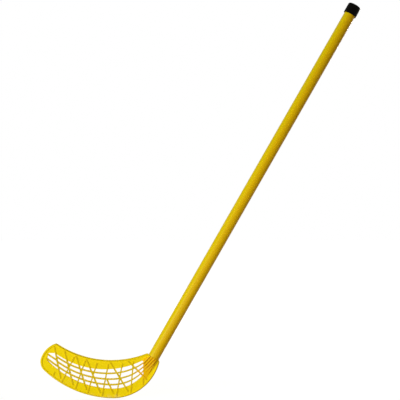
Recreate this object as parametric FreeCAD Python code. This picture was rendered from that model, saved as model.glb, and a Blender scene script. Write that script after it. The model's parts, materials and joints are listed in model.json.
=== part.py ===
import FreeCAD, Part
import math
import os

# A floorball stick in millimetres, leaning as it does in play. The blade stands on its sole with the toe
# towards -X, the shaft leans towards +X, and Y is across the blade. The origin is on the shaft's axis,
# where the upper hand holds it.

# Shaft
TUBE_DIAMETER = 24.0
TUBE_WALL = 2.0
TUBE_LENGTH = 842.0
TUBE_EDGE_BREAK = 0.4
LEAN_ANGLE = 29.8
GRIP_DISTANCE = 150.0

# End cap
CAP_HEIGHT = 26.0
CAP_WALL = 1.9
CAP_TOP = 3.2
CAP_TOP_BREAK = 2.0
CAP_RIM_BREAK = 0.5
CAP_CLEARANCE = 0.1

# Outline of the blade, measured from the centre of the tube's lower end
TOP_EDGE_RADIUS = 203.0
TOP_EDGE_LOW_REACH = 88.5
SHOULDER_WIDTH = 3.8
BLADE_DROP = 85.5
HEEL_RADIUS = 100.0
HEEL_SHOULDER_WIDTH = 2.8
HEEL_CORNER_BREAK = 2.4
SOLE_RADIUS = 214.0
SOLE_START_ANGLE = 1.5
TOE_REACH = 90.0
TOE_RADIUS = 47.5
TOE_TOP_CORNER_RADIUS = 6.5
TOE_SOLE_CORNER_RADIUS = 24.5

# Section of the blade
RIM_THICKNESS = 9.0
RIM_WIDTH = 3.4
RIM_EDGE_BREAK = 2.0
WEB_THICKNESS = 6.0
RIB_THICKNESS = 8.0
LONG_RIB_WIDTH = 2.4
CROSS_RIB_WIDTH = 2.6

# Window
TOP_BAND = 18.3
TOP_BAND_AT_TOE = 18.3
TOP_BAND_AT_NECK = 11.0
SOLE_BAND = 19.3
TOE_BAND = 13.3
TOE_CORNER_BAND = 8.2
WINDOW_TOE_LEAD = 23.0
WINDOW_NECK_REACH = 21.6
WINDOW_CORNER_RADIUS = 2.0
WINDOW_CORNER_LIMIT_SHARE = 0.15

# Lattice, with the places of its ribs as shares of the way from the window's toe end to its neck end.
# A long rib has its start and its depths in the window at the toe and at the neck. A cross rib has its place
# at the top edge, its place at the sole, and the shares of the way down between them at which it starts and
# ends. The first cross rib closes the toe bay, and a toe rib has its place on the bay's toe side and its place
# on that cross rib.
LONG_RIB_STATIONS = 7
LONG_RIB_SHARES = ((0.052, 0.18, 0.245), (0.08, 0.485, 0.525), (0.11, 0.78, 0.795))
CROSS_RIB_SHARES = (
    (-0.058, 0.213, 0, 0.88),
    (0.084, 0.333, 0, 0.88),
    (0.228, 0.454, 0, 0.88),
    (0.349, 0.572, 0, 0.88),
    (0.49, 0.682, 0.5, 0.88),
    (0.621, 0.806, 0, 0.9),
    (0.818, 0.988, 0, 0.9),
    (0.10, 0.12, 0.8, 1),
    (0.236, 0.209, 0.1, 1),
    (0.363, 0.338, 0.1, 1),
    (0.497, 0.446, 0.1, 1),
    (0.623, 0.569, 0.1, 1),
    (0.783, 0.686, 0.1, 1),
    (0.904, 0.808, 0.1, 1),
    (1.019, 0.924, 0.7, 1),
)
TOE_RIB_SHARES = ((0.20, 0.52), (0.82, 0.69))

# Neck and plug
NECK_LENGTH = 46.0
NECK_LIP = 0.8
NECK_MIDDLE_SHARE = 0.42
NECK_MIDDLE_SHIFT = 3.0
NECK_MIDDLE_WIDTH = 27.0
NECK_MIDDLE_THICKNESS = 14.0
NECK_END_SHIFT = 4.5
NECK_END_WIDTH = 27.0
NECK_END_THICKNESS = 5.0
NECK_COLLAR_CORNER_SHARE = 0.46
NECK_MIDDLE_CORNER_SHARE = 0.3
NECK_END_CORNER_SHARE = 0.2
GROOVE_COUNT = 4
GROOVE_PITCH = 5.4
GROOVE_SHIFT = 3.6
GROOVE_WIDTH = 1.8
GROOVE_DEPTH = 1.8
GROOVE_LEAN_ANGLE = 13.0
GROOVE_COLLAR = 2.0
PLUG_LENGTH = 86.0
PLUG_CLEARANCE = 0.1
PLUG_CHAMFER = 1.5
PLUG_CORE_DIAMETER = 11.0
PLUG_CORE_DEPTH = 76.0

# Screws that hold the plug
SCREW_COUNT = 2
SCREW_FIRST = 27.0
SCREW_PITCH = 45.0
SCREW_DIAMETER = 3.5
SCREW_HEAD_DIAMETER = 6.8
SCREW_LENGTH = 12.0
SCREW_TIP = 2.5
SCREW_CLEARANCE = 0.1

# How far a cutting shape reaches past what it cuts
OVERRUN = 5.0

ORIGIN = FreeCAD.Vector(0, 0, 0)
ACROSS = FreeCAD.Vector(0, 1, 0)
UP = FreeCAD.Vector(0, 0, 1)
DOWN = -UP
TOEWARD = FreeCAD.Vector(-1, 0, 0)
LEAN = math.radians(LEAN_ANGLE)
SHAFT = FreeCAD.Vector(math.sin(LEAN), 0, math.cos(LEAN))
HEELWARD = FreeCAD.Vector(math.cos(LEAN), 0, -math.sin(LEAN))

TUBE_RADIUS = TUBE_DIAMETER / 2
BORE_RADIUS = TUBE_RADIUS - TUBE_WALL
PLUG_RADIUS = BORE_RADIUS - PLUG_CLEARANCE
SHOULDER_RADIUS = TUBE_RADIUS + SHOULDER_WIDTH


# Plane geometry


def toward(centre, radius, point):
    """The point of a circle that lies towards another point."""
    return centre + (point - centre).normalize() * radius


def far_crossing(start, direction, centre, radius):
    """Where a line that goes out from start leaves a circle."""
    offset = start - centre
    along = offset.dot(direction)
    return start + direction * (math.sqrt(along**2 - offset.dot(offset) + radius**2) - along)


def near_crossing(start, direction, centre, radius):
    """Where a line that goes out from start enters a circle."""
    beyond = start + direction * (2 * (centre - start).Length)
    return far_crossing(beyond, -direction, centre, radius)


def circles_crossing(centre, radius, other_centre, other_radius):
    """The crossing of two circles that lies to the left of the way from the first centre to the second."""
    way = other_centre - centre
    gap = way.Length
    along = (gap**2 + radius**2 - other_radius**2) / (2 * gap)
    aside = math.sqrt(radius**2 - along**2)
    way.normalize()
    return centre + way * along + FreeCAD.Vector(-way.z, 0, way.x) * aside


def arc(centre, start, end):
    """An arc of less than half a circle."""
    middle = (start - centre) + (end - centre)
    through = toward(centre, (start - centre).Length, centre + middle)
    return Part.Arc(start, through, end).toShape()


def line(start, end):
    return Part.LineSegment(start, end).toShape()


def prism(face, thickness):
    """A flat shape given a thickness across the blade, half on each side."""
    return face.translated(-ACROSS * (thickness / 2)).extrude(ACROSS * thickness)


def strip(start, end, width):
    """A straight flat strip between two points."""
    side = (end - start).cross(ACROSS).normalize() * (width / 2)
    corners = [start - side, end - side, end + side, start + side]
    return Part.Face(Part.makePolygon(corners + corners[:1]))


# Circles that the blade's outline is made of

SHOULDER_TOP = HEELWARD * -SHOULDER_RADIUS
TOP_CENTRE = FreeCAD.Vector(
    -TOP_EDGE_LOW_REACH,
    0,
    SHOULDER_TOP.z + math.sqrt(TOP_EDGE_RADIUS**2 - (SHOULDER_TOP.x + TOP_EDGE_LOW_REACH) ** 2),
)
HEEL_SHOULDER = HEELWARD * (TUBE_RADIUS + HEEL_SHOULDER_WIDTH)
HEEL_RISE = HEEL_SHOULDER.z + BLADE_DROP - HEEL_RADIUS
HEEL_CENTRE = FreeCAD.Vector(
    HEEL_SHOULDER.x - math.sqrt(HEEL_RADIUS**2 - HEEL_RISE**2), 0, HEEL_RADIUS - BLADE_DROP
)
SOLE_NORMAL = FreeCAD.Vector(
    math.sin(math.radians(SOLE_START_ANGLE)), 0, math.cos(math.radians(SOLE_START_ANGLE))
)
SOLE_CENTRE = HEEL_CENTRE + SOLE_NORMAL * (SOLE_RADIUS - HEEL_RADIUS)
SOLE_START = HEEL_CENTRE - SOLE_NORMAL * HEEL_RADIUS


def ray(length):
    """The way from the centre of the top edge to a place on it, given by its distance from the lowest one."""
    angle = length / TOP_EDGE_RADIUS
    return FreeCAD.Vector(math.sin(angle), 0, -math.cos(angle))


def top_length(point):
    """The place along the top edge, as a length, that lies on the same ray as a point."""
    from_centre = point - TOP_CENTRE
    return math.atan2(from_centre.x, -from_centre.z) * TOP_EDGE_RADIUS


def is_toeward(way):
    """Whether a ray passes on the toe's side of the place where the heel's arc runs into the sole's."""
    join = SOLE_START - TOP_CENTRE
    return way.x * join.z > join.x * way.z


def sole_point(way, inset):
    """Where a ray from the top edge's centre meets the sole or the heel, or a line that runs inside them."""
    if is_toeward(way):
        return far_crossing(TOP_CENTRE, way, SOLE_CENTRE, SOLE_RADIUS - inset)
    return far_crossing(TOP_CENTRE, way, HEEL_CENTRE, HEEL_RADIUS - inset)


TOE_RAY = ray(-TOE_REACH)
TOE_CENTRE = (TOP_CENTRE + TOE_RAY * TOP_EDGE_RADIUS + sole_point(TOE_RAY, 0)) / 2


def blade_outline():
    """The outer edge: top, toe, sole and heel are arcs, and the last side lies past the tube's lower end."""
    top_corner = circles_crossing(
        TOE_CENTRE, TOE_RADIUS - TOE_TOP_CORNER_RADIUS, TOP_CENTRE, TOP_EDGE_RADIUS + TOE_TOP_CORNER_RADIUS
    )
    sole_corner = circles_crossing(
        TOE_CENTRE, TOE_RADIUS - TOE_SOLE_CORNER_RADIUS, SOLE_CENTRE, SOLE_RADIUS - TOE_SOLE_CORNER_RADIUS
    )
    top_end = toward(TOP_CENTRE, TOP_EDGE_RADIUS, top_corner)
    toe_start = toward(TOE_CENTRE, TOE_RADIUS, top_corner)
    toe_end = toward(TOE_CENTRE, TOE_RADIUS, sole_corner)
    sole_end = toward(SOLE_CENTRE, SOLE_RADIUS, sole_corner)
    heel_end = far_crossing(SHAFT * OVERRUN, HEELWARD, HEEL_CENTRE, HEEL_RADIUS)
    top_start = near_crossing(SHAFT * OVERRUN, -HEELWARD, TOP_CENTRE, TOP_EDGE_RADIUS)
    edges = [
        arc(TOP_CENTRE, top_start, top_end),
        arc(top_corner, top_end, toe_start),
        arc(TOE_CENTRE, toe_start, toe_end),
        arc(sole_corner, toe_end, sole_end),
        arc(SOLE_CENTRE, sole_end, SOLE_START),
        arc(HEEL_CENTRE, SOLE_START, heel_end),
        line(heel_end, top_start),
    ]
    return Part.Wire(edges)


def shoulder_cut():
    """What is cut off square to the shaft where the tube's end sits, with the heel's corner broken."""
    start = HEEL_SHOULDER - HEELWARD * HEEL_CORNER_BREAK
    rise = SHAFT * TUBE_DIAMETER
    reach = HEELWARD * TUBE_DIAMETER
    points = [-reach, start, start + reach - rise, start + reach + rise, rise - reach]
    return prism(Part.Face(Part.makePolygon(points + points[:1])), TUBE_DIAMETER + OVERRUN)


# Edges and corners of the window

WINDOW_SOLE_START = SOLE_START + SOLE_NORMAL * SOLE_BAND
WINDOW_TOP_TOE = TOP_CENTRE + ray(-TOE_REACH - WINDOW_TOE_LEAD) * (TOP_EDGE_RADIUS + TOP_BAND_AT_TOE)
WINDOW_TOE_CORNER = far_crossing(WINDOW_TOP_TOE, TOEWARD, TOE_CENTRE, TOE_RADIUS - TOE_CORNER_BAND)
WINDOW_SOLE_TOE = circles_crossing(
    TOE_CENTRE, TOE_RADIUS - TOE_BAND, SOLE_CENTRE, SOLE_RADIUS - SOLE_BAND
)
NECK_LINE_START = FreeCAD.Vector(-WINDOW_NECK_REACH, 0, TOP_CENTRE.z)
WINDOW_TOP_NECK = far_crossing(NECK_LINE_START, DOWN, TOP_CENTRE, TOP_EDGE_RADIUS) + DOWN * TOP_BAND_AT_NECK
WINDOW_SOLE_NECK = far_crossing(NECK_LINE_START, DOWN, HEEL_CENTRE, HEEL_RADIUS - SOLE_BAND)
WINDOW_TOP_MIDDLE = TOP_CENTRE + DOWN * (TOP_EDGE_RADIUS + TOP_BAND)
WINDOW_TOP = Part.Arc(WINDOW_TOP_TOE, WINDOW_TOP_MIDDLE, WINDOW_TOP_NECK).toShape()


def window():
    """The opening that the lattice fills, right through the blade."""
    edges = [
        WINDOW_TOP,
        line(WINDOW_TOP_NECK, WINDOW_SOLE_NECK),
        arc(HEEL_CENTRE, WINDOW_SOLE_NECK, WINDOW_SOLE_START),
        arc(SOLE_CENTRE, WINDOW_SOLE_START, WINDOW_SOLE_TOE),
        line(WINDOW_SOLE_TOE, WINDOW_TOE_CORNER),
        line(WINDOW_TOE_CORNER, WINDOW_TOP_TOE),
    ]
    opening = prism(Part.Face(Part.Wire(edges)), TUBE_DIAMETER + OVERRUN)
    corners = [WINDOW_TOP_NECK, WINDOW_SOLE_NECK, WINDOW_SOLE_TOE, WINDOW_TOE_CORNER]
    touching = [edge for edge in opening.Edges for corner in corners if is_on_upright(edge, corner)]
    toe_side = (WINDOW_TOE_CORNER - WINDOW_SOLE_TOE).Length
    return opening.makeFillet(min(WINDOW_CORNER_RADIUS, toe_side * WINDOW_CORNER_LIMIT_SHARE), touching)


def is_on_upright(edge, corner):
    """Whether an edge runs across the blade at a corner."""
    distances = [(vertex.Point - corner).cross(ACROSS).Length for vertex in edge.Vertexes]
    return max(distances) < Part.Precision.confusion()


def lattice_ray(share):
    """The ray at a share of the way from the window's toe end to its neck end."""
    toe, neck = top_length(WINDOW_SOLE_TOE), top_length(WINDOW_TOP_NECK)
    return ray(toe + (neck - toe) * share)


def long_rib(start_share, toe_depth_share, neck_depth_share):
    """A rib that runs to the neck at a share of the way from the window's upper to its lower edge.

    Its two sides are smooth curves through the points at that share on a fan of rays. The share changes evenly
    from the toe to the neck.
    """
    circle = WINDOW_TOP.Curve
    end_share = 1 + CROSS_RIB_WIDTH / WINDOW_TOP.Length
    upper, lower = [], []
    for station in range(LONG_RIB_STATIONS):
        place_share = start_share + (end_share - start_share) * station / (LONG_RIB_STATIONS - 1)
        depth_share = toe_depth_share + (neck_depth_share - toe_depth_share) * place_share
        way = lattice_ray(place_share)
        top = far_crossing(TOP_CENTRE, way, circle.Center, circle.Radius)
        middle = top + (sole_point(way, SOLE_BAND) - top) * depth_share
        upper.append(middle - way * (LONG_RIB_WIDTH / 2))
        lower.append(middle + way * (LONG_RIB_WIDTH / 2))
    sides = []
    for points in (upper, lower):
        curve = Part.BSplineCurve()
        curve.interpolate(points)
        sides.append(curve.toShape())
    ends = [line(upper[-1], lower[-1]), line(lower[0], upper[0])]
    return Part.Face(Part.Wire([sides[0], ends[0], sides[1], ends[1]]))


def cross_rib_ends(top_share, sole_share, start_share, end_share):
    """The ends of a straight rib that lies on the line from a place on the top edge to one on the sole."""
    top = TOP_CENTRE + lattice_ray(top_share) * TOP_EDGE_RADIUS
    sole = sole_point(lattice_ray(sole_share), 0)
    return top + (sole - top) * start_share, top + (sole - top) * end_share


def toe_rib(toe_share, rib_share):
    """A straight rib across the toe bay."""
    start, end = cross_rib_ends(*CROSS_RIB_SHARES[0])
    outside = WINDOW_TOE_CORNER + (WINDOW_SOLE_TOE - WINDOW_TOE_CORNER) * toe_share
    inside = start + (end - start) * rib_share
    return strip(outside + (outside - inside).normalize() * CROSS_RIB_WIDTH, inside, LONG_RIB_WIDTH)


def lattice(limit):
    """All the ribs, cut off inside the rim."""
    ribs = [long_rib(*shares) for shares in LONG_RIB_SHARES]
    ribs += [strip(*cross_rib_ends(*shares), CROSS_RIB_WIDTH) for shares in CROSS_RIB_SHARES]
    ribs += [toe_rib(*shares) for shares in TOE_RIB_SHARES]
    bars = [prism(rib, RIB_THICKNESS) for rib in ribs]
    return bars[0].multiFuse(bars[1:]).common(prism(limit, RIM_THICKNESS))


# Neck, plug and screws


def circles(shape):
    """The round edges of a shape."""
    return [edge for edge in shape.Edges if edge.Curve.TypeId == "Part::GeomCircle"]


def lowest_circle(shape, way):
    """The round edge that lies furthest back along a way."""
    return min(circles(shape), key=lambda edge: edge.CenterOfMass.dot(way))


def rounded_section(distance, shift, width, thickness, corner_share):
    """A rounded rectangle square to the shaft, below the tube's lower end and shifted towards the toe."""
    radius = min(width, thickness) * corner_share
    centre = SHAFT * -distance - HEELWARD * shift
    along = HEELWARD * (width / 2 - radius)
    aside = ACROSS * (thickness / 2 - radius)
    edges = []
    corners = ((1, 1), (-1, 1), (-1, -1), (1, -1))
    for place, (first, second) in enumerate(corners):
        middle = centre + along * first + aside * second
        out, over = HEELWARD * first * radius, ACROSS * second * radius
        start, end = (out, over) if first == second else (over, out)
        through = (out + over).normalize() * radius
        edges.append(Part.Arc(middle + start, middle + through, middle + end).toShape())
        following, other = corners[(place + 1) % len(corners)]
        next_middle = centre + along * following + aside * other
        edges.append(line(middle + end, next_middle + end))
    return Part.Wire(edges)


def neck(inset):
    """The flare from the tube's round end to the flat blade, or a like form that lies inside it."""
    collar = TUBE_DIAMETER + 2 * NECK_LIP
    middle = NECK_LENGTH * NECK_MIDDLE_SHARE
    stations = [
        (0, 0, collar, collar, NECK_COLLAR_CORNER_SHARE),
        (middle, NECK_MIDDLE_SHIFT, NECK_MIDDLE_WIDTH, NECK_MIDDLE_THICKNESS, NECK_MIDDLE_CORNER_SHARE),
        (NECK_LENGTH, NECK_END_SHIFT, NECK_END_WIDTH, NECK_END_THICKNESS, NECK_END_CORNER_SHARE),
    ]
    sections = []
    for distance, shift, width, thickness, corner_share in stations:
        sections.append(rounded_section(distance, shift, width - 2 * inset, thickness - 2 * inset, corner_share))
    return Part.makeLoft(sections, True)


def grooves():
    """Slots of an even depth in the neck's two faces, which lean from the shaft towards the toe."""
    drift = HEELWARD * (NECK_LENGTH * math.tan(math.radians(GROOVE_LEAN_ANGLE)))
    core = neck(GROOVE_DEPTH)
    slots = []
    for place in range(GROOVE_COUNT):
        aside = HEELWARD * ((place - (GROOVE_COUNT - 1) / 2) * GROOVE_PITCH - GROOVE_SHIFT)
        run = strip(aside - SHAFT * GROOVE_COLLAR, aside - SHAFT * NECK_LENGTH - drift, GROOVE_WIDTH)
        for side in (1, -1):
            face = run.translated(ACROSS * side * RIM_THICKNESS / 2)
            slots.append(face.extrude(ACROSS * side * (SHOULDER_RADIUS + OVERRUN)).cut(core))
    return slots


def plug():
    """The part of the blade inside the tube, with a hollow core open at its top."""
    body = Part.makeCylinder(PLUG_RADIUS, PLUG_LENGTH + OVERRUN, SHAFT * -OVERRUN, SHAFT)
    body = body.makeChamfer(PLUG_CHAMFER, [lowest_circle(body, -SHAFT)])
    core_start = SHAFT * (PLUG_LENGTH - PLUG_CORE_DEPTH)
    core = Part.makeCylinder(PLUG_CORE_DIAMETER / 2, PLUG_CORE_DEPTH + OVERRUN, core_start, SHAFT)
    return body.cut(core)


def screw_profile(clearance, head_rise):
    """A countersunk screw turned about its axis, which runs from the heel side into the plug."""
    head = SCREW_HEAD_DIAMETER / 2 + clearance
    shank = SCREW_DIAMETER / 2 + clearance
    head_top = math.sqrt(TUBE_RADIUS**2 - (SCREW_HEAD_DIAMETER / 2) ** 2)
    head_base = head_top - (SCREW_HEAD_DIAMETER - SCREW_DIAMETER) / 2
    tip = head_top - SCREW_LENGTH - clearance
    outline = [
        (head_top + head_rise, 0),
        (head_top + head_rise, head),
        (head_top, head),
        (head_base, shank),
        (tip + SCREW_TIP, shank),
        (tip, 0),
    ]
    points = []
    for depth, radius in outline:
        point = HEELWARD * depth + SHAFT * radius
        if not points or (point - points[-1]).Length > Part.Precision.confusion():
            points.append(point)
    face = Part.Face(Part.makePolygon(points + points[:1]))
    return face.revolve(ORIGIN, HEELWARD, 360)


def screw_set(clearance, head_rise):
    """The same screw at each of its places along the plug."""
    one = screw_profile(clearance, head_rise)
    return [one.translated(SHAFT * (SCREW_FIRST + place * SCREW_PITCH)) for place in range(SCREW_COUNT)]


# Pieces


def blade():
    """One moulding: rim, web, lattice, neck and plug."""
    wire = blade_outline()
    outline = Part.Face(wire)
    inner = Part.Face(wire.makeOffset2D(-RIM_WIDTH))
    plate = prism(outline, RIM_THICKNESS)
    plate = plate.makeChamfer(RIM_EDGE_BREAK, circles(plate))
    recess = prism(inner, RIM_THICKNESS + OVERRUN).cut(prism(inner, WEB_THICKNESS))
    plate = plate.cut([recess, shoulder_cut()])
    body = plate.multiFuse([neck(0), plug()]).cut([window()] + grooves())
    body = body.fuse(lattice(Part.Face(wire.makeOffset2D(-RIM_WIDTH / 2))))
    return body.cut(screw_set(SCREW_CLEARANCE, 0)).removeSplitter()


def shaft_tube():
    """A plain tube, cut square, with its edges broken and countersunk holes for the screws."""
    tube = Part.makeCylinder(TUBE_RADIUS, TUBE_LENGTH, ORIGIN, SHAFT)
    tube = tube.cut(Part.makeCylinder(BORE_RADIUS, TUBE_LENGTH, ORIGIN, SHAFT))
    tube = tube.makeChamfer(TUBE_EDGE_BREAK, circles(tube))
    return tube.cut(screw_set(SCREW_CLEARANCE, OVERRUN))


def end_cap():
    """A round cap that is pushed over the tube's top end until the end meets its inside."""
    top = TUBE_LENGTH + CAP_TOP
    inside = TUBE_RADIUS + CAP_CLEARANCE
    cap = Part.makeCylinder(inside + CAP_WALL, CAP_HEIGHT, SHAFT * (top - CAP_HEIGHT), SHAFT)
    cap = cap.makeChamfer(CAP_RIM_BREAK, [lowest_circle(cap, SHAFT)])
    cap = cap.makeChamfer(CAP_TOP_BREAK, [lowest_circle(cap, -SHAFT)])
    hollow = Part.makeCylinder(inside, CAP_HEIGHT - CAP_TOP, SHAFT * (top - CAP_HEIGHT), SHAFT)
    return cap.cut(hollow)


def main():
    os.makedirs("parts", exist_ok=True)
    pieces = {
        "shaft_tube": shaft_tube(),
        "end_cap": end_cap(),
        "blade": blade(),
        "blade_screws": Part.Compound(screw_set(0, 0)),
    }
    for name, shape in pieces.items():
        shape.translate(SHAFT * (GRIP_DISTANCE - TUBE_LENGTH))
        shape.exportStep("parts/" + name + ".step")
        print(name, len(shape.Solids), shape.isValid(), round(shape.Volume))


main()
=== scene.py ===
import json
import math

import bmesh
import bpy
import numpy as np
from bpy.props import FloatProperty, FloatVectorProperty, IntProperty, PointerProperty
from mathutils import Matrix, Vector


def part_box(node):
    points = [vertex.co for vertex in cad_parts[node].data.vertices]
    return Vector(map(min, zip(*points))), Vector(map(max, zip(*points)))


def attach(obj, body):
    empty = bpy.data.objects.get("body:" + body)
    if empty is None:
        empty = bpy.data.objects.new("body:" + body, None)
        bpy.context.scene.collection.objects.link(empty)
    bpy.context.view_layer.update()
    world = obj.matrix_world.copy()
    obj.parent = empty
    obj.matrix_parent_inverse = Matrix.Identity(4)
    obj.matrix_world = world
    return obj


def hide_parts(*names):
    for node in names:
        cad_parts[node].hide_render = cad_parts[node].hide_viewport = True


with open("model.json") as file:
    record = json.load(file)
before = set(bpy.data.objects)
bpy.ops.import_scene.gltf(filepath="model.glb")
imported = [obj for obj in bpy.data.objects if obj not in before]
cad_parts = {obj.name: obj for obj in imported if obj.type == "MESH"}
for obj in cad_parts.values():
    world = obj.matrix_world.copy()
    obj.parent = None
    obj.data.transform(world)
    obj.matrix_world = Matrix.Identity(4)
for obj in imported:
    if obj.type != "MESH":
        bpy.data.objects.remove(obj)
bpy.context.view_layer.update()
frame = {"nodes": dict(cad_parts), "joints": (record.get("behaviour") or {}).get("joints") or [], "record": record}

bl_info = {
    "name": "Floorball stick",
    "version": (1, 0, 0),
    "blender": (4, 5, 0),
    "location": "View3D > Sidebar > Floorball stick",
    "description": "Dresses a floorball stick with a lattice blade and sets it on a pale studio floor",
    "category": "Object",
}

# The stick's own directions: along the shaft, across the blade and towards the heel
CAP_AXIS = np.array(frame["joints"][0]["axis"])
SHAFT = CAP_AXIS / np.linalg.norm(CAP_AXIS)
ACROSS = np.array((0.0, 1.0, 0.0))
HEELWARD = np.cross(ACROSS, SHAFT)
LEAN = math.atan2(SHAFT[0], SHAFT[2])

# Sizes that the solids give
MOUNTS = {mount["name"]: mount for mount in frame["record"]["mounts"]}
CAP_TOP = float(np.linalg.norm(MOUNTS["cap_top"]["pos_m"]))
CAP_RADIUS = MOUNTS["cap_end"]["dims"]["r_mm"] / 1000
TUBE_RADIUS = MOUNTS["hand_grip"]["dims"]["r_mm"] / 1000
SOLE_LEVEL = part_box("blade")[0].z

# How finely the turned surfaces are divided, and the angle past which an edge stays sharp
TURN_STEPS = 96
CORNER_STEPS = 9
HEAD_ROWS = 30
THREAD_ROWS = 64
SHARP_ANGLE = math.radians(35)

# The bevel round a screw's head, and the share of its recess's depth that is lost at the arms' ends
HEAD_EDGE = 0.00012
RECESS_TAPER = 0.6

# How noise is drawn out along X, Y and Z: the smaller the share, the longer the marks
STREAK_STRETCH = (1.0, 1.0, 0.004)
TUBE_GRAIN_STRETCH = (1.0, 1.0, 0.05)
TUBE_SCUFF_STRETCH = (1.0, 1.0, 0.35)
BLADE_SCUFF_STRETCH = (0.4, 1.0, 1.0)

# Where the tube's painted light falls, as an angle from its front towards the toe, and where the painted
# light gives way to painted shade, as a share of its radius in that direction
LIT_SIDE_ANGLE = math.radians(65)
LIT_SIDE_END = 0.4

# Heights above the tube's foot at which a mask is empty and at which it is full
TUBE_WEAR_HEIGHTS = (0.30, 0.02)
NECK_END_HEIGHTS = (-0.051, -0.044)
GROOVE_HEIGHTS = (-0.045, -0.015)

# Distances from the shaft's axis towards the heel at which a mask is empty and at which it is full
NECK_HEEL_SIDE = (0.0105, 0.0085)
NECK_TOE_SIDE = (-0.009, -0.006)
GROOVE_TOE_SIDE = (-0.0135, -0.0125)

# The height of the knee in the neck's toe side, and how far that side goes out on its way down to it
NECK_KNEE_HEIGHT = -0.012
NECK_SPREAD = 0.7

# Distances from a groove's middle, and from the blade's middle plane, for an empty and a full mask
GROOVE_FLANKS = (0.0014, 0.0005)
RIB_FACE_BOTTOM = (0.0031, 0.0034)
RIB_FACE_TOP = (0.0043, 0.0041)

# How far up from the floor the sole is worn
SOLE_WEAR = 0.012

# Sockets of Blender's colour mix
MIX_FACTOR = 0
MIX_FIRST = 6
MIX_SECOND = 7
MIX_RESULT = 2

SENSOR_WIDTH = 36.0
WHITE = (1.0, 1.0, 1.0)


# Settings


class StickSizes(bpy.types.PropertyGroup):
    """Sizes of the stick's small forms."""

    tube_foot: FloatProperty(
        name="Tube foot",
        description="Distance from the hand to the tube's lower end",
        default=0.692,
        unit="LENGTH",
    )
    groove_first: FloatProperty(
        name="First groove",
        description="Distance of the first neck groove from the shaft's axis",
        default=-0.0117,
        unit="LENGTH",
    )
    groove_pitch: FloatProperty(
        name="Groove pitch",
        description="Distance from one neck groove to the next",
        default=0.0054,
        unit="LENGTH",
    )
    groove_slope: FloatProperty(
        name="Groove slope",
        description="Share by which the grooves drift towards the toe on their way down",
        default=0.24,
        min=-1.0,
        max=1.0,
        subtype="FACTOR",
    )
    cap_height: FloatProperty(
        name="Cap height",
        description="Height of the cap",
        default=0.0222,
        unit="LENGTH",
    )
    cap_wall: FloatProperty(
        name="Cap wall",
        description="Thickness of the cap's side",
        default=0.0019,
        unit="LENGTH",
    )
    cap_roof: FloatProperty(
        name="Cap roof",
        description="Thickness of the cap's closed end",
        default=0.0032,
        unit="LENGTH",
    )
    cap_edge: FloatProperty(
        name="Cap edge",
        description="How far the rounding of the cap's top edge reaches",
        default=0.0032,
        unit="LENGTH",
    )
    cap_rim: FloatProperty(
        name="Cap rim",
        description="How far the rounding of the cap's open rim and inside reaches",
        default=0.0007,
        unit="LENGTH",
    )
    screw_first: FloatProperty(
        name="First screw",
        description="Distance of the first screw from the tube's foot",
        default=0.027,
        unit="LENGTH",
    )
    screw_pitch: FloatProperty(
        name="Screw pitch",
        description="Distance from one screw to the next",
        default=0.045,
        unit="LENGTH",
    )
    screw_count: IntProperty(
        name="Screws",
        description="Number of blade screws",
        default=2,
        min=1,
    )
    head_radius: FloatProperty(
        name="Head radius",
        description="Radius of a screw's countersunk head",
        default=0.0034,
        unit="LENGTH",
    )
    shank_radius: FloatProperty(
        name="Shank radius",
        description="Outside radius of a screw's thread",
        default=0.00175,
        unit="LENGTH",
    )
    core_radius: FloatProperty(
        name="Core radius",
        description="Radius at the bottom of a screw's thread",
        default=0.0012,
        unit="LENGTH",
    )
    screw_length: FloatProperty(
        name="Screw length",
        description="Length of a screw",
        default=0.012,
        unit="LENGTH",
    )
    screw_tip: FloatProperty(
        name="Screw tip",
        description="Length of a screw's point",
        default=0.0025,
        unit="LENGTH",
    )
    thread_pitch: FloatProperty(
        name="Thread pitch",
        description="Distance from one turn of the thread to the next",
        default=0.0013,
        unit="LENGTH",
    )
    recess_reach: FloatProperty(
        name="Recess reach",
        description="Length of one arm of a screw's cross recess",
        default=0.0019,
        unit="LENGTH",
    )
    recess_width: FloatProperty(
        name="Recess width",
        description="Half the width of an arm of the cross recess",
        default=0.00048,
        unit="LENGTH",
    )
    recess_depth: FloatProperty(
        name="Recess depth",
        description="Depth of the cross recess in its middle",
        default=0.0012,
        unit="LENGTH",
    )


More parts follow.
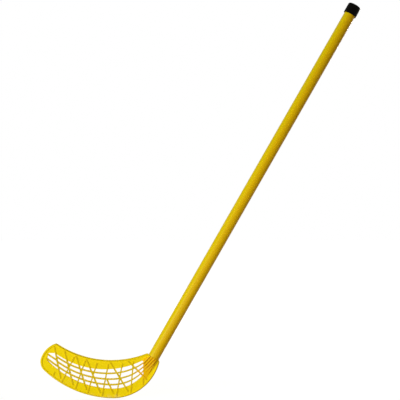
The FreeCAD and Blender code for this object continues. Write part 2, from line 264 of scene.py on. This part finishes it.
class StickColours(bpy.types.PropertyGroup):
    """Colours of the stick's plastics, rubber and steel."""

    # Painted light: the tube's paler gold is painted on its lit side.
    tube: FloatVectorProperty(
        name="Tube",
        description="Golden yellow of the tube where it has faded",
        default=(0.83, 0.64, 0.001),
        subtype="COLOR",
    )
    # Painted shade: the deeper gold is painted on the tube's other sides, and it is also the real colour of its
    # drawn streaks.
    tube_deep: FloatVectorProperty(
        name="Tube, deep",
        description="Deeper gold of the tube's other sides and of its drawn streaks",
        default=(0.80, 0.485, 0.001),
        subtype="COLOR",
    )
    blade: FloatVectorProperty(
        name="Blade",
        description="Lemon yellow of the blade's thin walls",
        default=(0.97, 0.77, 0.001),
        subtype="COLOR",
    )
    neck: FloatVectorProperty(
        name="Neck",
        description="Deeper yellow where the moulding is thick",
        default=(0.92, 0.555, 0.001),
        subtype="COLOR",
    )
    # Painted shade: the darker colour of the ribs stands for the shadows along them.
    rib: FloatVectorProperty(
        name="Rib",
        description="Yellow of the lattice ribs",
        default=(0.66, 0.485, 0.002),
        subtype="COLOR",
    )
    # Painted shade: the brown in the neck's grooves stands for the shade that falls in them.
    groove: FloatVectorProperty(
        name="Groove",
        description="Brown that gathers in the neck's grooves",
        default=(0.55, 0.22, 0.001),
        subtype="COLOR",
    )
    scuff: FloatVectorProperty(
        name="Scuff",
        description="Paler plastic where it is rubbed",
        default=(0.86, 0.69, 0.20),
        subtype="COLOR",
    )
    cap: FloatVectorProperty(
        name="Cap",
        description="Black of the cap",
        default=(0.0016, 0.0011, 0.0007),
        subtype="COLOR",
    )
    dust: FloatVectorProperty(
        name="Dust",
        description="Dust on the cap",
        default=(0.006, 0.0045, 0.003),
        subtype="COLOR",
    )
    screw: FloatVectorProperty(
        name="Screw",
        description="Zinc plating of the screws",
        default=(0.55, 0.56, 0.58),
        subtype="COLOR",
    )
    tarnish: FloatVectorProperty(
        name="Tarnish",
        description="Dull patches of the plating",
        default=(0.33, 0.32, 0.30),
        subtype="COLOR",
    )


class StageSettings(bpy.types.PropertyGroup):
    """Camera, floor and lamps of the studio."""

    camera_place: FloatVectorProperty(
        name="Camera place",
        description="Place of the camera",
        default=(-0.2472, -2.087, -0.2727),
        subtype="TRANSLATION",
    )
    camera_lens: FloatProperty(
        name="Lens",
        description="Focal length in millimetres on a sensor 36 mm wide",
        default=90.0,
        unit="CAMERA",
    )
    floor_reach: FloatProperty(
        name="Floor reach",
        description="Distance from the middle of the floor to its edges",
        default=8.0,
        unit="LENGTH",
    )
    floor_pale: FloatVectorProperty(
        name="Floor",
        description="Pale colour of the light that the floor throws back",
        default=(0.46, 0.40, 0.34),
        subtype="COLOR",
    )
    floor_shade: FloatVectorProperty(
        name="Floor shade",
        description="Part of the floor's colour that takes shadows",
        default=(0.20, 0.20, 0.20),
        subtype="COLOR",
    )
    floor_near: FloatProperty(
        name="Near glow",
        description="Evenly bright part of the floor as it is seen, beside the blade",
        default=0.90,
        min=0.0,
        max=1.0,
        subtype="FACTOR",
    )
    floor_far: FloatProperty(
        name="Far glow",
        description="Evenly bright part of the floor as it is seen, away from the blade",
        default=1.0,
        min=0.0,
        max=1.0,
        subtype="FACTOR",
    )
    near_reach: FloatProperty(
        name="Near reach",
        description="Distance from the blade up to which the floor has its near glow",
        default=0.3,
        unit="LENGTH",
    )
    far_reach: FloatProperty(
        name="Far reach",
        description="Distance from the blade past which the floor has its far glow",
        default=1.5,
        unit="LENGTH",
    )
    ambient: FloatVectorProperty(
        name="Ambient",
        description="Even light from all around",
        default=(0.11, 0.09, 0.075),
        subtype="COLOR",
    )
    key_place: FloatVectorProperty(
        name="Key place",
        description="Place of the large lamp at the left",
        default=(-2.50, -2.00, -0.15),
        subtype="TRANSLATION",
    )
    key_power: FloatProperty(
        name="Key power",
        description="Power of the large lamp",
        default=57.7,
        unit="POWER",
    )
    key_size: FloatProperty(
        name="Key size",
        description="Side of the large lamp",
        default=1.0,
        unit="LENGTH",
    )
    key_tint: FloatVectorProperty(
        name="Key tint",
        description="Nearly white colour of the large lamp",
        default=(0.94, 1.0, 0.93),
        subtype="COLOR",
    )
    front_place: FloatVectorProperty(
        name="Front place",
        description="Place of the low lamp in front",
        default=(-0.40, -1.00, -0.72),
        subtype="TRANSLATION",
    )
    front_power: FloatProperty(
        name="Front power",
        description="Power of the lamp in front",
        default=7.6,
        unit="POWER",
    )
    front_size: FloatProperty(
        name="Front size",
        description="Side of the lamp in front",
        default=0.5,
        unit="LENGTH",
    )
    front_tint: FloatVectorProperty(
        name="Front tint",
        description="Warm white of the lamp in front",
        default=(1.0, 0.86, 0.66),
        subtype="COLOR",
    )
    back_place: FloatVectorProperty(
        name="Back place",
        description="Place of the lamp behind",
        default=(1.00, 1.80, 0.50),
        subtype="TRANSLATION",
    )
    back_power: FloatProperty(
        name="Back power",
        description="Power of the lamp behind",
        default=50.0,
        unit="POWER",
    )
    back_size: FloatProperty(
        name="Back size",
        description="Side of the lamp behind",
        default=0.8,
        unit="LENGTH",
    )
    back_tint: FloatVectorProperty(
        name="Back tint",
        description="Warm white of the lamp behind",
        default=(1.0, 0.94, 0.85),
        subtype="COLOR",
    )


# Surfaces


def rounded_path(corners, reaches):
    """A path along straight sides whose corners are rounded.

    Each corner C becomes a parabola that leaves one side at A and meets the next at B, both at the given
    reach from C: (1 - t)^2 A + 2 t (1 - t) C + t^2 B.
    """
    corners = np.array(corners)
    pieces = [corners[:1]]
    share = np.linspace(0, 1, CORNER_STEPS)[:, None]
    for before, corner, after, reach in zip(corners[:-2], corners[1:-1], corners[2:], reaches):
        start = corner + (before - corner) / np.linalg.norm(before - corner) * reach
        end = corner + (after - corner) / np.linalg.norm(after - corner) * reach
        pieces.append((1 - share) ** 2 * start + 2 * share * (1 - share) * corner + share**2 * end)
    pieces.append(corners[-1:])
    return np.concatenate(pieces)


def turn_angles():
    """Even angles once round an axis."""
    return np.linspace(0, 2 * math.pi, TURN_STEPS, endpoint=False)


def turned_points(radii, heights, angles, axis, first, second):
    """Points turned about an axis: height along the axis, plus radius times (cos a first + sin a second)."""
    ring = np.cos(angles)[..., None] * first + np.sin(angles)[..., None] * second
    return heights[..., None] * axis + radii[..., None] * ring


def turned_faces(rows, columns, start):
    """Faces of one turned shape, whose points are a pole, rows of points and the other pole.

    The points are numbered from start. The columns run round and close on themselves. The rows give
    four-sided faces, and each pole gives a fan of triangles.
    """
    place = np.arange(rows * columns).reshape(rows, columns) + start + 1
    onward = np.roll(place, -1, axis=1)
    quads = np.stack([place[:-1], onward[:-1], onward[1:], place[1:]], axis=-1).reshape(-1, 4)
    first = np.stack([np.full(columns, start), onward[0], place[0]], axis=-1)
    last = np.stack([np.full(columns, start + rows * columns + 1), place[-1], onward[-1]], axis=-1)
    return quads.tolist() + first.tolist() + last.tolist()


def closed_turned_mesh(name, grids):
    """A closed mesh of turned shapes, each a grid whose first and last rows shrink to a point."""
    points = []
    faces = []
    start = 0
    for grid in grids:
        rows, columns = grid.shape[0] - 2, grid.shape[1]
        points += [grid[:1, 0], grid[1:-1].reshape(-1, 3), grid[-1:, 0]]
        faces += turned_faces(rows, columns, start)
        start += rows * columns + 2
    mesh = bpy.data.meshes.new(name)
    mesh.from_pydata(np.concatenate(points).tolist(), [], faces)
    shell = bmesh.new()
    shell.from_mesh(mesh)
    bmesh.ops.recalc_face_normals(shell, faces=shell.faces)
    shell.to_mesh(mesh)
    shell.free()
    mesh.shade_smooth()
    mesh.set_sharp_from_angle(angle=SHARP_ANGLE)
    return mesh


def new_object(name, data):
    """An object at the origin that shows a mesh, a lamp or a camera."""
    item = bpy.data.objects.new(name, data)
    bpy.context.scene.collection.objects.link(item)
    return item


def cap_grid(sizes):
    """The cap: a rounded profile turned about the shaft.

    The profile runs along the inside of the closed end, down the inner side, round the rim, up the outer
    side and back over the top.
    """
    inside = CAP_RADIUS - sizes.cap_wall
    ceiling = CAP_TOP - sizes.cap_roof
    rim = CAP_TOP - sizes.cap_height
    corners = [
        (0, ceiling),
        (inside, ceiling),
        (inside, rim),
        (CAP_RADIUS, rim),
        (CAP_RADIUS, CAP_TOP),
        (0, CAP_TOP),
    ]
    reaches = [sizes.cap_rim, sizes.cap_rim, sizes.cap_rim, sizes.cap_edge]
    profile = rounded_path(corners, reaches)
    angles, radii = np.meshgrid(turn_angles(), profile[:, 0])
    heights = np.broadcast_to(profile[:, 1:], angles.shape)
    return turned_points(radii, heights, angles, SHAFT, HEELWARD, ACROSS)


def recess_depth(radii, angles, sizes):
    """Depth of the cross recess: two crossed arms with sloped walls, deepest in the middle.

    An arm is how far a point lies inside its width or its length, whichever is less, held between 0 and 1.
    """
    slope = sizes.recess_width / 2
    along, aside = np.abs(radii * np.cos(angles)), np.abs(radii * np.sin(angles))
    arms = [
        np.minimum(sizes.recess_width - narrow, sizes.recess_reach - far) / slope
        for far, narrow in ((along, aside), (aside, along))
    ]
    taper = 1 - RECESS_TAPER * np.minimum(radii / sizes.recess_reach, 1)
    return sizes.recess_depth * taper * np.clip(np.maximum(*arms), 0, 1)


def thread_cut(depths, angles, start, sizes):
    """Depth to which the thread is cut: a triangle wave of the turns, let in over the first turn."""
    turn = (depths / sizes.thread_pitch - angles / (2 * math.pi)) % 1
    ridge = 1 - np.abs(2 * turn - 1)
    let_in = np.clip((start - depths) / sizes.thread_pitch, 0, 1)
    return (sizes.shank_radius - sizes.core_radius) * let_in * (1 - ridge)


def screw_grid(sizes, distance):
    """A countersunk screw about an axis that runs into the tube from the heel side.

    Its rows go out over the head, down the countersink, along the thread and to the point. The head's rows
    are sunk by the depth of the cross recess, and the thread's rows are drawn in by the depth of its cut.
    """
    head_top = math.sqrt(TUBE_RADIUS**2 - sizes.head_radius**2)
    thread_start = head_top - (sizes.head_radius - sizes.shank_radius)
    thread_end = head_top - sizes.screw_length + sizes.screw_tip
    head_rim = [head_top - HEAD_EDGE, thread_start + HEAD_EDGE]
    out = np.linspace(0, sizes.head_radius - HEAD_EDGE, HEAD_ROWS)
    down = np.linspace(thread_start, thread_end, THREAD_ROWS)
    shank = np.full(THREAD_ROWS, sizes.shank_radius)
    radii = np.concatenate([out, [sizes.head_radius, sizes.shank_radius], shank, [0]])
    depths = np.concatenate([np.full(HEAD_ROWS, head_top), head_rim, down, [thread_end - sizes.screw_tip]])
    angles, radii = np.meshgrid(turn_angles(), radii)
    depths = np.broadcast_to(depths[:, None], angles.shape)
    on_head = depths == head_top
    on_shank = (radii == sizes.shank_radius) & (depths <= thread_start)
    sunk = np.where(on_head, recess_depth(radii, angles, sizes), 0)
    drawn_in = np.where(on_shank, thread_cut(depths, angles, thread_start, sizes), 0)
    points = turned_points(radii - drawn_in, depths - sunk, angles, HEELWARD, SHAFT, ACROSS)
    return points + SHAFT * distance


# Shader nodes


def feed(tree, socket, value):
    """Links a value that is a socket, sets another one, and for None leaves the socket alone."""
    if isinstance(value, bpy.types.NodeSocket):
        tree.links.new(value, socket)
    elif value is not None:
        socket.default_value = value


def put(tree, kind, *values, **settings):
    """Adds a node with its settings and feeds its inputs in their order."""
    node = tree.nodes.new(kind)
    for name, setting in settings.items():
        setattr(node, name, setting)
    for socket, value in zip(node.inputs, values):
        feed(tree, socket, value)
    return node


def maths(tree, operation, *values):
    """Arithmetic on values that change over the surface."""
    return put(tree, "ShaderNodeMath", *values, operation=operation).outputs[0]


def product(tree, first, *others):
    """Several values multiplied."""
    for other in others:
        first = maths(tree, "MULTIPLY", first, other)
    return first


def portion(tree, value, share):
    """A share of a value."""
    return maths(tree, "MULTIPLY", value, share)


def added(tree, base, value, share):
    """A base with a share of another value on top."""
    return maths(tree, "MULTIPLY_ADD", value, share, base)


def fade(tree, value, empty, full):
    """A smooth step from 0 at empty to 1 at full."""
    node = put(tree, "ShaderNodeMapRange", value, empty, full, 0.0, 1.0, interpolation_type="SMOOTHSTEP")
    return node.outputs[0]


def between(tree, value, low, high):
    """A straight change from low to high as a value goes from 0 to 1."""
    return put(tree, "ShaderNodeMapRange", value, 0.0, 1.0, low, high).outputs[0]


def tint(tree, mask, first, second):
    """The first colour where the mask is 0 and the second where it is 1."""
    node = put(tree, "ShaderNodeMix", data_type="RGBA")
    feed(tree, node.inputs[MIX_FACTOR], mask)
    feed(tree, node.inputs[MIX_FIRST], first)
    feed(tree, node.inputs[MIX_SECOND], second)
    return node.outputs[MIX_RESULT]


def noise(tree, vector, scale, detail):
    """Noise between 0 and 1."""
    return put(tree, "ShaderNodeTexNoise", vector, None, scale, detail).outputs[0]


def paint(colour):
    """A colour setting with its alpha."""
    return (*colour, 1.0)


def new_group(name, inputs, outputs):
    """An empty shader node group with named inputs and outputs."""
    tree = bpy.data.node_groups.new(name, "ShaderNodeTree")
    for label, kind, default in inputs:
        socket = tree.interface.new_socket(label, in_out="INPUT", socket_type=kind)
        if default is not None:
            socket.default_value = default
    for label, kind in outputs:
        tree.interface.new_socket(label, in_out="OUTPUT", socket_type=kind)
    return tree, tree.nodes.new("NodeGroupInput"), tree.nodes.new("NodeGroupOutput")


def grain_group():
    """Fine grain of a moulded or drawn surface: a height for the bump and a slow change of tone."""
    name = "Surface grain"
    if name in bpy.data.node_groups:
        return bpy.data.node_groups[name]
    inputs = [("Vector", "NodeSocketVector", None), ("Scale", "NodeSocketFloat", 1000.0)]
    outputs = [("Height", "NodeSocketFloat"), ("Tone", "NodeSocketFloat")]
    tree, source, result = new_group(name, inputs, outputs)
    vector, scale = source.outputs["Vector"], source.outputs["Scale"]
    fine = noise(tree, vector, scale, detail=3.0)
    slow = noise(tree, vector, portion(tree, scale, share=0.02), detail=2.0)
    tree.links.new(fine, result.inputs["Height"])
    tree.links.new(fade(tree, slow, empty=0.3, full=0.7), result.inputs["Tone"])
    return tree


def scuff_group():
    """Rubbed marks: thin strokes where a noise crosses its middle, kept to patches of a slower noise."""
    name = "Rubbed marks"
    if name in bpy.data.node_groups:
        return bpy.data.node_groups[name]
    inputs = [
        ("Vector", "NodeSocketVector", None),
        ("Scale", "NodeSocketFloat", 100.0),
        ("Amount", "NodeSocketFloat", 0.5),
    ]
    tree, source, result = new_group(name, inputs, [("Mask", "NodeSocketFloat")])
    vector, scale = source.outputs["Vector"], source.outputs["Scale"]
    strokes = noise(tree, vector, scale, detail=2.0)
    off_middle = maths(tree, "ABSOLUTE", maths(tree, "SUBTRACT", strokes, 0.5))
    line = fade(tree, off_middle, empty=0.02, full=0.0)
    patch = noise(tree, vector, portion(tree, scale, share=0.13), detail=2.0)
    kept = fade(tree, patch, empty=0.52, full=0.68)
    tree.links.new(product(tree, line, kept, source.outputs["Amount"]), result.inputs["Mask"])
    return tree


def grain(tree, vector, scale):
    """The height and tone of the shared grain in one material."""
    node = put(tree, "ShaderNodeGroup", node_tree=grain_group())
    feed(tree, node.inputs["Vector"], vector)
    feed(tree, node.inputs["Scale"], scale)
    return node.outputs["Height"], node.outputs["Tone"]


def scuffs(tree, vector, scale, amount):
    """The mask of the shared rubbed marks in one material."""
    node = put(tree, "ShaderNodeGroup", node_tree=scuff_group())
    feed(tree, node.inputs["Vector"], vector)
    feed(tree, node.inputs["Scale"], scale)
    feed(tree, node.inputs["Amount"], amount)
    return node.outputs["Mask"]


def new_material(name, **values):
    """A material with one Principled shader whose plain values are set on its sockets."""
    material = bpy.data.materials.new(name)
    material.use_nodes = True
    tree = material.node_tree
    shader = tree.nodes["Principled BSDF"]
    for label, value in values.items():
        shader.inputs[label.replace("_", " ")].default_value = value
    return material, tree, shader


def own_place(tree):
    """The place of a point on the object."""
    return tree.nodes.new("ShaderNodeTexCoord").outputs["Object"]


def shaft_place(tree):
    """The same place turned upright: X towards the heel, Y across the blade and Z along the shaft."""
    turn = put(tree, "ShaderNodeMapping", own_place(tree), vector_type="POINT")
    turn.inputs["Rotation"].default_value = (0, -LEAN, 0)
    return turn.outputs[0]


def stretched(tree, vector, shares):
    """A place with its X, Y and Z multiplied by their shares."""
    return put(tree, "ShaderNodeVectorMath", vector, shares, operation="MULTIPLY").outputs[0]


def parts_of(tree, vector):
    """X, Y and Z of a place."""
    return put(tree, "ShaderNodeSeparateXYZ", vector).outputs


def bump(tree, shader, height, strength, distance):
    """Turns a height into the shader's normal."""
    node = put(tree, "ShaderNodeBump", strength, distance)
    tree.links.new(height, node.inputs["Height"])
    tree.links.new(node.outputs["Normal"], shader.inputs["Normal"])


def dress(piece, material):
    """Gives a piece one material."""
    piece.data.materials.clear()
    piece.data.materials.append(material)


# Materials


def painted_shade_and_streaks(tree, place, streak, tone):
    """Mask of the tube's deeper gold: painted shade on all but its side of painted light, and a little more in its
    streaks.
    """
    # The direction of the tube's side with painted light.
    painted_light = (-math.sin(LIT_SIDE_ANGLE), -math.cos(LIT_SIDE_ANGLE), 0.0)
    side = put(tree, "ShaderNodeVectorMath", place, painted_light, operation="DOT_PRODUCT").outputs["Value"]
    kept = fade(tree, side, empty=TUBE_RADIUS, full=LIT_SIDE_END * TUBE_RADIUS)
    drawn = portion(tree, fade(tree, streak, empty=0.35, full=0.65), share=0.5)
    drawn = added(tree, drawn, tone, share=0.3)
    return added(tree, portion(tree, kept, share=0.75), drawn, share=0.25)


def tube_wear(tree, place, sizes):
    """Mask of the tube's rubbed marks, most of them near its foot."""
    marks = scuffs(tree, stretched(tree, place, TUBE_SCUFF_STRETCH), scale=260.0, amount=0.3)
    clean, worn = (height - sizes.tube_foot for height in TUBE_WEAR_HEIGHTS)
    foot = fade(tree, parts_of(tree, place)["Z"], empty=clean, full=worn)
    return product(tree, marks, between(tree, foot, low=0.15, high=1.0))


def tube_plastic(colours, sizes):
    """Drawn plastic: painted light on one side and painted shade round the rest, with streaks along the tube and
    rubbed marks near its foot.
    """
    material, tree, shader = new_material("tube_plastic", Specular_IOR_Level=0.08)
    place = shaft_place(tree)
    streak = noise(tree, stretched(tree, place, STREAK_STRETCH), scale=420.0, detail=1.0)
    height, tone = grain(tree, stretched(tree, place, TUBE_GRAIN_STRETCH), scale=1600.0)
    # Painted light and shade: the paler gold on the lit side and the deeper gold round the rest.
    deep = painted_shade_and_streaks(tree, place, streak, tone)
    marks = tube_wear(tree, place, sizes)
    colour = tint(tree, deep, paint(colours.tube), paint(colours.tube_deep))
    colour = tint(tree, marks, colour, paint(colours.scuff))
    tree.links.new(colour, shader.inputs["Base Color"])
    rough = added(tree, between(tree, streak, low=0.30, high=0.40), marks, share=0.25)
    tree.links.new(rough, shader.inputs["Roughness"])
    bump(tree, shader, added(tree, height, streak, share=2.0), strength=0.12, distance=0.00003)
    return material


def neck_mask(tree, heelward, below):
    """Mask of the thick neck: over its end, inside its heel side, and inside its toe side.

    The toe side spreads from the tube's foot down to a knee and runs straight on below it.
    """
    end = fade(tree, below, *NECK_END_HEIGHTS)
    heel_side = fade(tree, heelward, *NECK_HEEL_SIDE)
    spread = added(tree, heelward, maths(tree, "MAXIMUM", below, NECK_KNEE_HEIGHT), share=-NECK_SPREAD)
    return product(tree, end, heel_side, fade(tree, spread, *NECK_TOE_SIDE))


def painted_groove_shade(tree, heelward, below, sizes):
    """Mask of painted shade in the neck's grooves, by the distance from the middle of the nearest one."""
    half = sizes.groove_pitch / 2
    aside = added(tree, heelward, below, share=-sizes.groove_slope)
    aside = maths(tree, "SUBTRACT", aside, sizes.groove_first)
    beside = maths(tree, "ABSOLUTE", maths(tree, "WRAP", aside, half, -half))
    flanks = fade(tree, beside, *GROOVE_FLANKS)
    ends = fade(tree, below, *GROOVE_HEIGHTS)
    return product(tree, flanks, ends, fade(tree, heelward, *GROOVE_TOE_SIDE))


def painted_rib_shade(tree, place):
    """Mask of painted shade on the ribs' faces, which stand higher than the bands' and lower than the rim's."""
    height = maths(tree, "ABSOLUTE", parts_of(tree, place)["Y"])
    return product(tree, fade(tree, height, *RIB_FACE_BOTTOM), fade(tree, height, *RIB_FACE_TOP))


def blade_wear(tree, place):
    """Mask of what is rubbed: patches along the sole, where the floor rubs it, and marks all over."""
    patches = fade(tree, noise(tree, place, scale=120.0, detail=3.0), empty=0.42, full=0.62)
    sole = fade(tree, parts_of(tree, place)["Z"], empty=SOLE_LEVEL + SOLE_WEAR, full=SOLE_LEVEL)
    marks = scuffs(tree, stretched(tree, place, BLADE_SCUFF_STRETCH), scale=240.0, amount=0.5)
    return maths(tree, "MAXIMUM", portion(tree, product(tree, sole, patches), share=0.7), marks)


def blade_plastic(colours, sizes):
    """Moulded plastic: lemon where thin, deeper where thick, painted shade on the ribs and in the grooves, and
    pale where rubbed.
    """
    material, tree, shader = new_material("blade_plastic", Specular_IOR_Level=0.06)
    place = own_place(tree)
    upright = parts_of(tree, shaft_place(tree))
    below = maths(tree, "ADD", upright["Z"], sizes.tube_foot)
    height, tone = grain(tree, place, scale=1400.0)
    neck = neck_mask(tree, upright["X"], below)
    # Painted shade in the neck's grooves.
    grooves = product(tree, painted_groove_shade(tree, upright["X"], below, sizes), neck)
    rubbed = blade_wear(tree, place)
    layers = (
        # Painted shade on the ribs.
        (portion(tree, painted_rib_shade(tree, place), share=0.7), colours.rib),
        (portion(tree, tone, share=0.12), colours.neck),
        (neck, colours.neck),
        (grooves, colours.groove),
        (rubbed, colours.scuff),
    )
    colour = paint(colours.blade)
    for mask, layer in layers:
        colour = tint(tree, mask, colour, paint(layer))
    tree.links.new(colour, shader.inputs["Base Color"])
    rough = added(tree, between(tree, height, low=0.34, high=0.50), rubbed, share=0.25)
    tree.links.new(rough, shader.inputs["Roughness"])
    bump(tree, shader, height, strength=0.25, distance=0.00008)
    return material


def cap_rubber(colours):
    """Black rubber with a fine matt grain, and a little dust in patches."""
    material, tree, shader = new_material("cap_rubber", Specular_IOR_Level=0.03)
    place = own_place(tree)
    height, tone = grain(tree, place, scale=1800.0)
    patches = fade(tree, noise(tree, place, scale=160.0, detail=4.0), empty=0.5, full=0.75)
    dusty = portion(tree, patches, share=0.6)
    colour = tint(tree, dusty, paint(colours.cap), paint(colours.dust))
    tree.links.new(colour, shader.inputs["Base Color"])
    rough = added(tree, between(tree, tone, low=0.42, high=0.55), dusty, share=0.2)
    tree.links.new(rough, shader.inputs["Roughness"])
    bump(tree, shader, height, strength=0.35, distance=0.0001)
    return material


def screw_steel(colours):
    """Zinc-plated steel with dull patches and a fine grain."""
    material, tree, shader = new_material("screw_steel", Metallic=1.0)
    place = own_place(tree)
    height, tone = grain(tree, place, scale=2400.0)
    dull = fade(tree, noise(tree, place, scale=700.0, detail=3.0), empty=0.45, full=0.7)
    colour = tint(tree, dull, paint(colours.screw), paint(colours.tarnish))
    tree.links.new(colour, shader.inputs["Base Color"])
    rough = between(tree, maths(tree, "MAXIMUM", dull, tone), low=0.28, high=0.5)
    tree.links.new(rough, shader.inputs["Roughness"])
    bump(tree, shader, height, strength=0.2, distance=0.00004)
    return material


# Stage


def seen_share(tree):
    """1 for a ray that shows a surface to the camera, straight, in a reflection or through glass."""
    path = tree.nodes.new("ShaderNodeLightPath").outputs
    seen = maths(tree, "MAXIMUM", path["Is Camera Ray"], path["Is Glossy Ray"])
    return maths(tree, "MAXIMUM", seen, path["Is Transmission Ray"])


def floor_paint(stage):
    """A pale floor that is seen as white, whiter away from the blade, and keeps the stick's shadow."""
    material = bpy.data.materials.new("floor_paint")
    material.cycles.emission_sampling = "NONE"
    material.use_nodes = True
    tree = material.node_tree
    tree.nodes.clear()
    seen = seen_share(tree)
    colour = tint(tree, seen, paint(stage.floor_pale), paint(stage.floor_shade))
    matt = put(tree, "ShaderNodeBsdfDiffuse", colour)
    foot = tuple((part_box("blade")[0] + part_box("blade")[1]) / 2)
    away = put(tree, "ShaderNodeVectorMath", own_place(tree), foot, operation="DISTANCE").outputs["Value"]
    far = fade(tree, away, empty=stage.near_reach, full=stage.far_reach)
    level = between(tree, far, low=stage.floor_near, high=stage.floor_far)
    glow = put(tree, "ShaderNodeEmission", None, product(tree, seen, level))
    both = put(tree, "ShaderNodeAddShader", matt.outputs[0], glow.outputs[0])
    put(tree, "ShaderNodeOutputMaterial", both.outputs[0])
    return material


def lay_floor(stage):
    """A square floor at the level of the sole."""
    corners = np.array([(-1, -1, 0), (1, -1, 0), (1, 1, 0), (-1, 1, 0)]) * stage.floor_reach
    mesh = bpy.data.meshes.new("floor")
    mesh.from_pydata((corners + (0, 0, SOLE_LEVEL)).tolist(), [], [(0, 1, 2, 3)])
    floor = new_object("floor", mesh)
    dress(floor, floor_paint(stage))


def light_world(stage):
    """A world that is seen as white and gives an even light from all around."""
    world = bpy.data.worlds.new("studio")
    world.use_nodes = True
    tree = world.node_tree
    tree.nodes.clear()
    colour = tint(tree, seen_share(tree), paint(stage.ambient), paint(WHITE))
    around = put(tree, "ShaderNodeBackground", colour, 1.0)
    put(tree, "ShaderNodeOutputWorld", around.outputs[0])
    bpy.context.scene.world = world


def soft_lamp(name, place, power, size, colour, aim):
    """A square lamp that faces a point."""
    lamp = bpy.data.lights.new(name, "AREA")
    lamp.energy = power
    lamp.size = size
    lamp.color = colour
    holder = new_object(name, lamp)
    holder.location = place
    holder.rotation_euler = (Vector(aim) - Vector(place)).to_track_quat("-Z", "Y").to_euler()


def light_lamps(stage):
    """The three lamps, which all face the middle of the stick."""
    middle = (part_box("blade")[0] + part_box("shaft_tube")[1]) / 2
    for side in ("key", "front", "back"):
        place, power, size, colour = (
            getattr(stage, f"{side}_{setting}") for setting in ("place", "power", "size", "tint")
        )
        soft_lamp(f"{side}_lamp", place, power, size, colour, middle)


def set_camera(stage):
    """A level camera that looks straight across the blade."""
    camera = bpy.data.cameras.new("camera")
    camera.lens = stage.camera_lens
    camera.sensor_width = SENSOR_WIDTH
    holder = new_object("camera", camera)
    holder.location = stage.camera_place
    holder.rotation_euler = (math.pi / 2, 0, 0)
    bpy.context.scene.camera = holder


# Operators


class STICK_OT_dress_tube(bpy.types.Operator):
    """Gives the tube its drawn plastic"""

    bl_idname = "stick.dress_tube"
    bl_label = "Dress the tube"

    def execute(self, context):
        settings = context.scene
        dress(frame["nodes"]["shaft_tube"], tube_plastic(settings.stick_colours, settings.stick_sizes))
        return {"FINISHED"}


class STICK_OT_dress_blade(bpy.types.Operator):
    """Gives the blade its moulded plastic"""

    bl_idname = "stick.dress_blade"
    bl_label = "Dress the blade"

    def execute(self, context):
        settings = context.scene
        dress(frame["nodes"]["blade"], blade_plastic(settings.stick_colours, settings.stick_sizes))
        return {"FINISHED"}


class STICK_OT_make_cap(bpy.types.Operator):
    """Makes the rounded rubber cap on the tube's upper end"""

    bl_idname = "stick.make_cap"
    bl_label = "Make the cap"

    def execute(self, context):
        mesh = closed_turned_mesh("rounded_cap", [cap_grid(context.scene.stick_sizes)])
        cap = new_object("rounded_cap", mesh)
        dress(cap, cap_rubber(context.scene.stick_colours))
        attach(cap, "cap")
        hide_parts("end_cap")
        return {"FINISHED"}


class STICK_OT_make_screws(bpy.types.Operator):
    """Makes the countersunk screws that hold the blade"""

    bl_idname = "stick.make_screws"
    bl_label = "Make the blade screws"

    def execute(self, context):
        sizes = context.scene.stick_sizes
        first = sizes.screw_first - sizes.tube_foot
        grids = [screw_grid(sizes, first + sizes.screw_pitch * place) for place in range(sizes.screw_count)]
        screws = new_object("cross_head_screws", closed_turned_mesh("cross_head_screws", grids))
        dress(screws, screw_steel(context.scene.stick_colours))
        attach(screws, "stick")
        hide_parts("blade_screws")
        return {"FINISHED"}


class STICK_OT_set_stage(bpy.types.Operator):
    """Sets the camera, the pale floor, the world and the lamps"""

    bl_idname = "stick.set_stage"
    bl_label = "Set the stage"

    def execute(self, context):
        stage = context.scene.stick_stage
        set_camera(stage)
        lay_floor(stage)
        light_world(stage)
        light_lamps(stage)
        context.scene.view_settings.view_transform = "Standard"
        return {"FINISHED"}


class STICK_PT_panel(bpy.types.Panel):
    """Lists the steps that make the stick"""

    bl_idname = "STICK_PT_panel"
    bl_label = "Floorball stick"
    bl_space_type = "VIEW_3D"
    bl_region_type = "UI"
    bl_category = "Floorball stick"

    def draw(self, context):
        for step in STEPS:
            self.layout.operator(step.bl_idname)


STEPS = (
    STICK_OT_dress_tube,
    STICK_OT_dress_blade,
    STICK_OT_make_cap,
    STICK_OT_make_screws,
    STICK_OT_set_stage,
)
GROUPS = {"stick_sizes": StickSizes, "stick_colours": StickColours, "stick_stage": StageSettings}
CLASSES = (*GROUPS.values(), *STEPS, STICK_PT_panel)


def register():
    """Registers the classes and hangs the settings on the scene."""
    for item in CLASSES:
        bpy.utils.register_class(item)
    for name, group in GROUPS.items():
        setattr(bpy.types.Scene, name, PointerProperty(type=group))


def unregister():
    """Takes the settings and the classes away again."""
    for name in GROUPS:
        delattr(bpy.types.Scene, name)
    for item in reversed(CLASSES):
        bpy.utils.unregister_class(item)


def main():
    """Makes the stick step by step."""
    register()
    bpy.ops.stick.dress_tube()
    bpy.ops.stick.dress_blade()
    bpy.ops.stick.make_cap()
    bpy.ops.stick.make_screws()
    bpy.ops.stick.set_stage()


if __name__ == "__main__":
    main()
